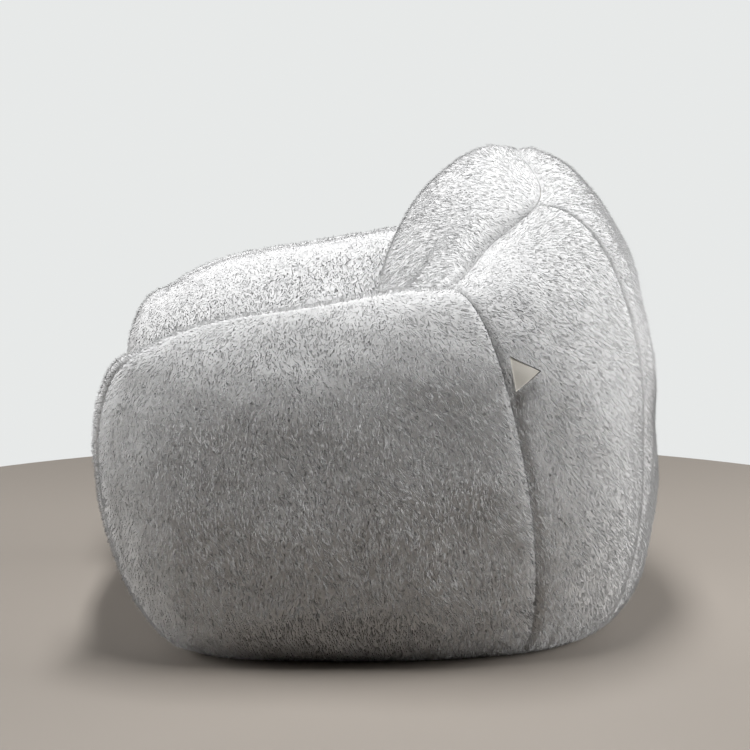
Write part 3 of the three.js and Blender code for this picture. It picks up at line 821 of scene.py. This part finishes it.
for node_name, name, depth, floor_height, finish, slot_name in (
    ("inner_bag", "lining_bag", 0.011, 0.0165, BAG_CLOTH, "bag_cloth"),
    ("bean_fill", "bead_filling", 0.016, 0.0205, BEADS, "beads"),
):
    stuffed = stuffed_form(name, depth, floor_height)
    stuffed.data.materials.append(finish)
    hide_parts(node_name)
    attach(stuffed, "chair")

METAL_PARTS = (
    "cover_zip_end_stop_left",
    "cover_zip_end_stop_right",
    "cover_zip_slider",
    "cover_zip_pull",
    "inner_bag_zip_slider",
)
for finish, names in (
    (ZIP_TAPE, ("cover_zip_tape_front", "cover_zip_tape_rear", "inner_bag_zip_tape")),
    (ZIP_COIL, ("cover_zip_coil", "inner_bag_zip_coil")),
    (ZIP_METAL, METAL_PARTS),
):
    for name in names:
        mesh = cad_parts[name].data
        if not mesh.materials:
            mesh.materials.append(None)
        for k in range(len(mesh.materials)):
            mesh.materials[k] = finish


def surface_x(y, z):
    """How far out the plush lies at one place on the left side."""
    grid = shaped[ids["back_side_panel_left"]].reshape(-1, 3)
    near = np.argmin((grid[:, 1] - y) ** 2 + (grid[:, 2] - z) ** 2)
    return grid[near, 0]


# Folded label, sewn into the side seam by its long edge. Corners are (y, z, height above the cloth), top to bottom
LABEL_CORNERS = [(0.214, 0.558, 0.009), (0.267, 0.5315, 0.0105), (0.2245, 0.4985, 0.011)]
LABEL_THICK = 0.0007
SEAM_THICKER = 0.0009
LABEL_TIP = 0.985
LABEL_STEPS = 16
BINDING_RADIUS = 0.00105
BINDING_STEPS = 18
corners = np.array([(surface_x(y, z) + proud, y, z) for y, z, proud in LABEL_CORNERS])


def label_point(a, b):
    """a runs down the sewn edge, b from the sewn edge to the tip, with a slight curl."""
    sewn = mix(corners[0], corners[2], a)
    p = mix(sewn, corners[1], b)
    p[0] += 0.0022 * math.sin(math.pi * b) + 0.0012 * math.sin(math.pi * a) * (1 - b)
    return p


row = LABEL_STEPS + 1
points, faces = [], []
for layer in (1, -1):
    for j in range(row):
        for i in range(row):
            fold = LABEL_THICK + SEAM_THICKER * (1 - j / LABEL_STEPS)
            place = label_point(i / LABEL_STEPS, j / LABEL_STEPS * LABEL_TIP)
            points.append(place + np.array([layer * fold, 0, 0]))
index = np.arange(2 * row * row).reshape(2, row, row)
for layer, turned in ((0, True), (1, False)):
    faces.append(grid_quads(index[layer], turned))
around = np.r_[index[0, :-1, 0], index[0, -1, :-1], index[0, :0:-1, -1], index[0, 0, :0:-1]]
beyond = np.roll(around, -1)
faces.append(np.stack([around, around + row * row, beyond + row * row, beyond], -1))
label = add_object("side_label_cloth", make_mesh("side_label_cloth", np.array(points), np.concatenate(faces)))
label.data.materials.append(LABEL_CLOTH)
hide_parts("side_label")
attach(label, "chair")

binding_curve = bpy.data.curves.new("side_label_binding", "CURVE")
binding_curve.dimensions = "3D"
binding_curve.bevel_depth = BINDING_RADIUS
binding_curve.use_fill_caps = True
spline = binding_curve.splines.new("POLY")
way = [label_point(0, t * LABEL_TIP) for t in np.linspace(0, 1, BINDING_STEPS)]
way += [label_point(1, t * LABEL_TIP) for t in np.linspace(1, 0, BINDING_STEPS)]
spline.points.add(len(way) - 1)
for point, place in zip(spline.points, way):
    point.co = (*place, 1)
binding = add_object("side_label_binding", binding_curve)
binding_curve.materials.append(BINDING)
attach(binding, "chair")

# ---- Floor, light and camera ------------------------------------------------------------------------------------
FLOOR_RADIUS = 1.55
FLOOR_SPOKES, FLOOR_RINGS = 160, 24


def floor_disc():
    """A round plain floor: the background begins just behind the chair, as a wall does."""
    turn = np.arange(FLOOR_SPOKES) * (2 * np.pi / FLOOR_SPOKES)
    circle = np.stack([np.cos(turn), np.sin(turn), 0 * turn], -1)
    rows = [r * circle for r in np.linspace(0.02, FLOOR_RADIUS, FLOOR_RINGS)]
    index = np.arange(FLOOR_RINGS * FLOOR_SPOKES).reshape(FLOOR_RINGS, FLOOR_SPOKES)
    nxt = np.roll(index, -1, axis=1)
    faces = np.stack([index[:-1], index[1:], nxt[1:], nxt[:-1]], -1).reshape(-1, 4)
    return make_mesh("floor", np.concatenate(rows), [faces, index[:1]])


floor_mat, _, floor_shader = new_material("floor")
floor_shader.inputs["Base Color"].default_value = (0.28, 0.25, 0.22, 1)
floor_shader.inputs["Roughness"].default_value = 0.6
floor = add_object("floor", floor_disc())
floor.data.materials.append(floor_mat)

CAMERA_AWAY = 5.62
CAMERA_ELEVATION = math.radians(10.0)
AIM = Vector((0.0, SHIFT_Y / 1000, 0.44))
camera_data = bpy.data.cameras.new("camera")
camera_data.lens = 144.0
camera_data.sensor_width = 36.0
camera_data.clip_end = 60
camera = add_object("camera", camera_data)
offset_to_camera = Vector((math.cos(CAMERA_ELEVATION), 0, math.sin(CAMERA_ELEVATION))) * CAMERA_AWAY
camera.location = AIM + offset_to_camera
camera.rotation_euler = (-offset_to_camera).to_track_quat("-Z", "Y").to_euler()
bpy.context.scene.camera = camera


def area_light(name, place, aim, size, power):
    data = bpy.data.lights.new(name, "AREA")
    data.shape = "RECTANGLE"
    data.size, data.size_y = size
    data.energy = power
    lamp = add_object(name, data)
    lamp.location = place
    lamp.rotation_euler = (Vector(aim) - Vector(place)).to_track_quat("-Z", "Y").to_euler()


WALL_LIGHT, CEILING_LIGHT = 0.14, 0.02


def room_light():
    """Faint light from -X and above; a plain pale background is all that is seen of the room."""
    world = bpy.data.worlds.new("world")
    bpy.context.scene.world = world
    world.use_nodes = True
    tree = world.node_tree
    surface = next(n for n in tree.nodes if n.type == "BACKGROUND")
    output = next(n for n in tree.nodes if n.type == "OUTPUT_WORLD")
    coord = node(tree, "ShaderNodeTexCoord")
    split = node(tree, "ShaderNodeSeparateXYZ")
    tree.links.new(coord.outputs["Generated"], split.inputs[0])
    total = None
    for axis, sign, strength in (("X", -1, WALL_LIGHT), ("Z", 1, CEILING_LIGHT)):
        lobe = node(tree, "ShaderNodeMath", operation="MULTIPLY", use_clamp=True)
        tree.links.new(split.outputs[axis], lobe.inputs[0])
        lobe.inputs[1].default_value = sign
        square = node(tree, "ShaderNodeMath", operation="MULTIPLY")
        tree.links.new(lobe.outputs[0], square.inputs[0])
        tree.links.new(lobe.outputs[0], square.inputs[1])
        scaled = node(tree, "ShaderNodeMath", operation="MULTIPLY_ADD")
        tree.links.new(square.outputs[0], scaled.inputs[0])
        scaled.inputs[1].default_value = strength
        scaled.inputs[2].default_value = 0.0
        if total is not None:
            tree.links.new(total, scaled.inputs[2])
        total = scaled.outputs[0]
    tree.links.new(total, surface.inputs["Strength"])
    surface.inputs["Color"].default_value = (0.97, 0.985, 1.0, 1)
    seen = node(tree, "ShaderNodeBackground")
    seen.inputs["Color"].default_value = (0.80, 0.815, 0.81, 1)
    seen.inputs["Strength"].default_value = 1.0
    path = node(tree, "ShaderNodeLightPath")
    choose = node(tree, "ShaderNodeMixShader")
    tree.links.new(path.outputs["Is Camera Ray"], choose.inputs["Fac"])
    tree.links.new(surface.outputs[0], choose.inputs[1])
    tree.links.new(seen.outputs[0], choose.inputs[2])
    tree.links.new(choose.outputs[0], output.inputs["Surface"])


room_light()
area_light("overhead", (0.42, 0.0, 3.2), (0.3, 0, 0.5), (0.5, 2.2), 118)
area_light("behind_rear", (-0.3, 3.4, 1.3), (0, 0.2, 0.4), (2.0, 2.0), 138)
area_light("behind_front", (-0.3, -3.4, 1.3), (0, -0.2, 0.4), (2.0, 2.0), 84)
area_light("front_top", (-0.3, -2.4, 2.6), (0, 0, 0.5), (2.0, 1.6), 4)
bpy.context.scene.view_settings.view_transform = "Standard"
